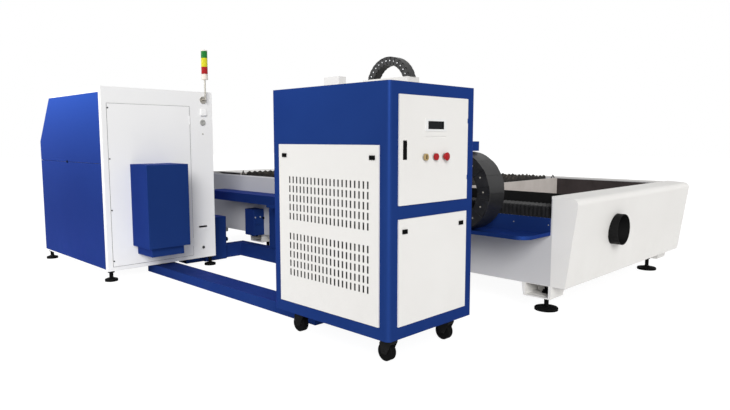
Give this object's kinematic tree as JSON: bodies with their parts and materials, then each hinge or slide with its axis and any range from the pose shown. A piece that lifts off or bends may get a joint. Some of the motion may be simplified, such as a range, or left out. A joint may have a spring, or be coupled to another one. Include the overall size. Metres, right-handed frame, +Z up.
{
  "type": "fiber laser cutting machine",
  "caption": "Flat-bed laser cutter with a travelling gantry over a slatted table, an operator console with a signal tower, and a wheeled laser cabinet.",
  "frame": {"origin": "on the floor, at the centre of the whole machine's footprint", "axes": "+X along the bed towards the exhaust stub, +Y from the cabinets towards the bed, +Z up"},
  "size_m": [5.093, 4.0788, 2.1],
  "materials": {
    "white_paint": "smooth powder coat, off-white",
    "blue_paint": "smooth powder coat, deep blue",
    "beige_paint": "satin paint",
    "black_steel": "heat-blackened, burnt by cutting",
    "machined_steel": "ground",
    "black_plastic": "moulded, fine grain",
    "black_fabric": "coated bellows cloth",
    "black_pipe": "painted black inside and out",
    "black_rubber": "moulded",
    "galvanised": "zinc-plated",
    "aluminium": "machined, anodised",
    "copper_tip": "turned copper alloy",
    "red_lens": "translucent",
    "yellow_lens": "translucent",
    "green_lens": "translucent",
    "red_plastic": "moulded",
    "gold_metal": "polished",
    "screen": "dark glass in a black bezel",
    "display": "pale bezel with a dark window",
    "drawer_grey": "powder coat with a dark keyboard"
  },
  "bodies": {
    "machine": {"bed_frame": "white_paint", "duct_end_housing": "white_paint", "plain_end_housing": "white_paint", "compartment_lining": "black_steel", "exhaust_duct": "black_pipe", "levelling_feet": "black_rubber", "slat_carrier": "black_steel", "cutting_slats": "black_steel", "linear_guides": "machined_steel", "bellows_right": "black_fabric", "bellows_left": "black_fabric", "cable_tray": "blue_paint", "floor_troughs": "blue_paint", "junction_box": "blue_paint", "chain_lower_run": "black_plastic", "console_cabinet": "white_paint", "console_side_panels": "blue_paint", "monitor": "screen", "electrical_plate": "galvanised", "signal_tower": "galvanised", "lens_red": "red_lens", "lens_yellow": "yellow_lens", "lens_green": "green_lens", "chiller_cabinet": "blue_paint", "vented_panel": "white_paint", "lower_cover": "white_paint", "laser_source": "galvanised", "cooling_unit": "galvanised"},
    "gantry": {"gantry_columns": "white_paint", "gantry_beam": "white_paint", "chain_arm": "blue_paint", "chain_upper_run": "black_plastic"},
    "chain_lower": {"chain_lower_bend": "black_plastic"},
    "chain_upper": {"chain_upper_bend": "black_plastic"},
    "carriage": {"carriage_housing": "white_paint", "arch_chain": "black_plastic"},
    "head": {"cutting_head": "aluminium", "nozzle": "copper_tip"},
    "rear_door": {"rear_door": "white_paint", "door_cooler": "blue_paint"},
    "keyboard_drawer": {"keyboard_drawer": "drawer_grey"},
    "console_stop": {"console_stop_button": "red_plastic"},
    "upper_door": {"upper_door": "white_paint", "door_display": "display"},
    "door_handle": {"door_handle": "black_plastic"},
    "key_switch": {"key_switch": "gold_metal"},
    "push_button": {"push_button": "red_plastic"},
    "mushroom_button": {"mushroom_button": "red_plastic"},
    "side_latch_1": {"side_latch_1": "black_plastic"},
    "side_latch_2": {"side_latch_2": "black_plastic"},
    "cover_latch_1": {"cover_latch_1": "black_plastic"},
    "cover_latch_2": {"cover_latch_2": "black_plastic"},
    "caster_fork_1": {"caster_fork_1": "black_pipe"},
    "caster_wheel_1": {"caster_wheel_1": "black_rubber"},
    "caster_fork_2": {"caster_fork_2": "black_pipe"},
    "caster_wheel_2": {"caster_wheel_2": "black_rubber"},
    "caster_fork_3": {"caster_fork_3": "black_pipe"},
    "caster_wheel_3": {"caster_wheel_3": "black_rubber"},
    "caster_fork_4": {"caster_fork_4": "black_pipe"},
    "caster_wheel_4": {"caster_wheel_4": "black_rubber"}
  },
  "joints": [
    {"name": "gantry_x", "type": "slide", "parent": "machine", "child": "gantry", "axis": [1, 0, 0], "range_m": [-2, 0.5], "deforming": ["bellows_right", "bellows_left"]},
    {"name": "chain_lower_x", "type": "slide", "parent": "machine", "child": "chain_lower", "axis": [1, 0, 0], "range_m": [-1, 0.25], "deforming": ["chain_lower_run"]},
    {"name": "chain_upper_x", "type": "slide", "parent": "gantry", "child": "chain_upper", "axis": [1, 0, 0], "range_m": [-0.25, 1], "deforming": ["chain_upper_run"]},
    {"name": "carriage_y", "type": "slide", "parent": "gantry", "child": "carriage", "axis": [0, 1, 0], "range_m": [-0.22, 1.27]},
    {"name": "head_z", "type": "slide", "parent": "carriage", "child": "head", "axis": [0, 0, 1], "range_m": [-0.1, 0.02]},
    {"name": "rear_door_hinge", "type": "hinge", "parent": "machine", "child": "rear_door", "pos_m": [-0.9574, -1.2, 0], "axis": [0, 0, 1], "range_deg": [0, 110]},
    {"name": "keyboard_drawer_slide", "type": "slide", "parent": "machine", "child": "keyboard_drawer", "axis": [-1, 0, 0], "range_m": [0, 0.26]},
    {"name": "console_stop_press", "type": "slide", "parent": "machine", "child": "console_stop", "axis": [0.8008, 0, -0.5989], "range_m": [0, 0.006], "stiffness_N_per_m": 900, "springref_m": -0.004},
    {"name": "upper_door_hinge", "type": "hinge", "parent": "machine", "child": "upper_door", "pos_m": [2.1936, -1.135, 0], "axis": [0, 0, 1], "range_deg": [0, 110]},
    {"name": "door_handle_lift", "type": "hinge", "parent": "upper_door", "child": "door_handle", "pos_m": [2.194, 0, 1.241], "axis": [0, 1, 0], "range_deg": [-35, 0]},
    {"name": "key_turn", "type": "hinge", "parent": "upper_door", "child": "key_switch", "pos_m": [2.199, -1.543, 1.157], "axis": [1, 0, 0], "range_deg": [-90, 0]},
    {"name": "push_button_press", "type": "slide", "parent": "upper_door", "child": "push_button", "axis": [-1, 0, 0], "range_m": [0, 0.006], "stiffness_N_per_m": 900, "springref_m": -0.004},
    {"name": "mushroom_button_press", "type": "slide", "parent": "upper_door", "child": "mushroom_button", "axis": [-1, 0, 0], "range_m": [0, 0.006], "stiffness_N_per_m": 900, "springref_m": -0.004},
    {"name": "side_latch_1_slide", "type": "slide", "parent": "machine", "child": "side_latch_1", "axis": [1, 0, 0], "range_m": [0, 0.009]},
    {"name": "side_latch_2_slide", "type": "slide", "parent": "machine", "child": "side_latch_2", "axis": [-1, 0, 0], "range_m": [0, 0.009]},
    {"name": "cover_latch_1_slide", "type": "slide", "parent": "machine", "child": "cover_latch_1", "axis": [0, 1, 0], "range_m": [0, 0.009]},
    {"name": "cover_latch_2_slide", "type": "slide", "parent": "machine", "child": "cover_latch_2", "axis": [0, -1, 0], "range_m": [0, 0.009]},
    {"name": "caster_swivel_1", "type": "hinge", "parent": "machine", "child": "caster_fork_1", "pos_m": [1.333, -1.711, 0.054], "axis": [0, 0, 1], "continuous": true},
    {"name": "caster_roll_1", "type": "hinge", "parent": "caster_fork_1", "child": "caster_wheel_1", "pos_m": [1.307, -1.711, 0.054], "axis": [0, 1, 0], "continuous": true},
    {"name": "caster_swivel_2", "type": "hinge", "parent": "machine", "child": "caster_fork_2", "pos_m": [1.333, -1.178, 0.054], "axis": [0, 0, 1], "continuous": true},
    {"name": "caster_roll_2", "type": "hinge", "parent": "caster_fork_2", "child": "caster_wheel_2", "pos_m": [1.307, -1.178, 0.054], "axis": [0, 1, 0], "continuous": true},
    {"name": "caster_swivel_3", "type": "hinge", "parent": "machine", "child": "caster_fork_3", "pos_m": [2.101, -1.711, 0.054], "axis": [0, 0, 1], "continuous": true},
    {"name": "caster_roll_3", "type": "hinge", "parent": "caster_fork_3", "child": "caster_wheel_3", "pos_m": [2.075, -1.711, 0.054], "axis": [0, 1, 0], "continuous": true},
    {"name": "caster_swivel_4", "type": "hinge", "parent": "machine", "child": "caster_fork_4", "pos_m": [2.101, -1.178, 0.054], "axis": [0, 0, 1], "continuous": true},
    {"name": "caster_roll_4", "type": "hinge", "parent": "caster_fork_4", "child": "caster_wheel_4", "pos_m": [2.075, -1.178, 0.054], "axis": [0, 1, 0], "continuous": true}
  ],
  "couplings": [
    {"joint": "chain_lower_x", "follows": "gantry_x", "ratio": 0.5},
    {"joint": "chain_upper_x", "follows": "gantry_x", "ratio": -0.5}
  ]
}
